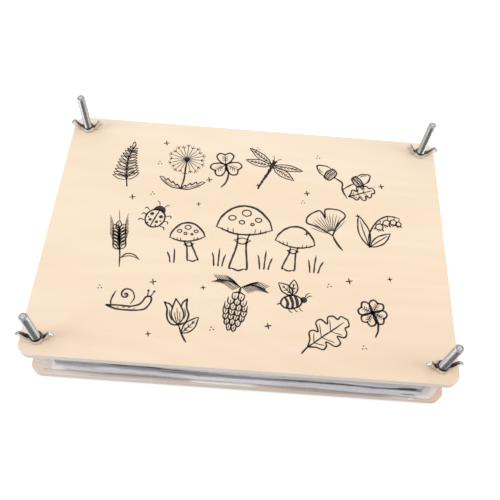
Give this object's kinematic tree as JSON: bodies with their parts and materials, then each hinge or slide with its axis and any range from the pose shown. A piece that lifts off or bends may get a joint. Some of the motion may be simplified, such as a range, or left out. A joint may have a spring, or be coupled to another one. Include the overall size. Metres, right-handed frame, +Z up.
{
  "type": "flower press",
  "caption": "Wooden flower press: boards squeezed by carriage bolts and wing nuts over a stack of corrugated cards and blotting sheets in a clear film bag.",
  "frame": {"origin": "middle of the bounding box's underside, level with the crowns of the bolt heads that the press stands on", "axes": "+X along the long side of the boards, to the right; +Y from front to back; +Z up, along the bolts"},
  "size_m": [0.3016, 0.21, 0.0833],
  "materials": {
    "board_wood": "pale sanded plywood, unvarnished",
    "bolt_steel": "bright zinc plated steel",
    "nut_steel": "bright zinc plated steel",
    "card_liner": "matt white-lined corrugated card",
    "blotting_paper": "soft matt white paper",
    "bag_film": "clear glossy film"
  },
  "bodies": {
    "base": {"bottom_board": "board_wood", "bolt_front_left": "bolt_steel", "bolt_front_right": "bolt_steel", "bolt_back_left": "bolt_steel", "bolt_back_right": "bolt_steel"},
    "press_plate": {"top_board": "board_wood"},
    "nut_front_left": {"wing_nut_front_left": "nut_steel"},
    "nut_front_right": {"wing_nut_front_right": "nut_steel"},
    "nut_back_left": {"wing_nut_back_left": "nut_steel"},
    "nut_back_right": {"wing_nut_back_right": "nut_steel"},
    "pack": {"film_bag": "bag_film", "card_1": "card_liner", "card_2": "card_liner", "card_3": "card_liner", "card_4": "card_liner", "card_5": "card_liner", "card_6": "card_liner", "card_7": "card_liner", "blotter_1": "blotting_paper", "blotter_2": "blotting_paper", "blotter_3": "blotting_paper", "blotter_4": "blotting_paper", "blotter_5": "blotting_paper", "blotter_6": "blotting_paper", "blotter_7": "blotting_paper", "blotter_8": "blotting_paper", "blotter_9": "blotting_paper", "blotter_10": "blotting_paper", "blotter_11": "blotting_paper", "blotter_12": "blotting_paper"}
  },
  "joints": [
    {"name": "top_board_lift", "type": "slide", "parent": "base", "child": "press_plate", "axis": [0, 0, 1], "range_m": [0, 0.03]},
    {"name": "pack_slide", "type": "slide", "parent": "base", "child": "pack", "axis": [0, -1, 0], "range_m": [0, 0.21]},
    {"name": "nut_front_left_turn", "type": "hinge", "parent": "press_plate", "child": "nut_front_left", "pos_m": [-0.138, -0.093, 0.04765], "axis": [0, 0, 1], "range_deg": [0, 10800]},
    {"name": "nut_front_right_turn", "type": "hinge", "parent": "press_plate", "child": "nut_front_right", "pos_m": [0.138, -0.093, 0.04765], "axis": [0, 0, 1], "range_deg": [0, 10800]},
    {"name": "nut_back_left_turn", "type": "hinge", "parent": "press_plate", "child": "nut_back_left", "pos_m": [-0.138, 0.093, 0.04765], "axis": [0, 0, 1], "range_deg": [0, 10800]},
    {"name": "nut_back_right_turn", "type": "hinge", "parent": "press_plate", "child": "nut_back_right", "pos_m": [0.138, 0.093, 0.04765], "axis": [0, 0, 1], "range_deg": [0, 10800]}
  ],
  "couplings": [
    {"joint": "nut_front_left_turn", "follows": "top_board_lift", "rad_per_m": 6283.2},
    {"joint": "nut_front_right_turn", "follows": "top_board_lift", "rad_per_m": 6283.2},
    {"joint": "nut_back_left_turn", "follows": "top_board_lift", "rad_per_m": 6283.2},
    {"joint": "nut_back_right_turn", "follows": "top_board_lift", "rad_per_m": 6283.2}
  ]
}
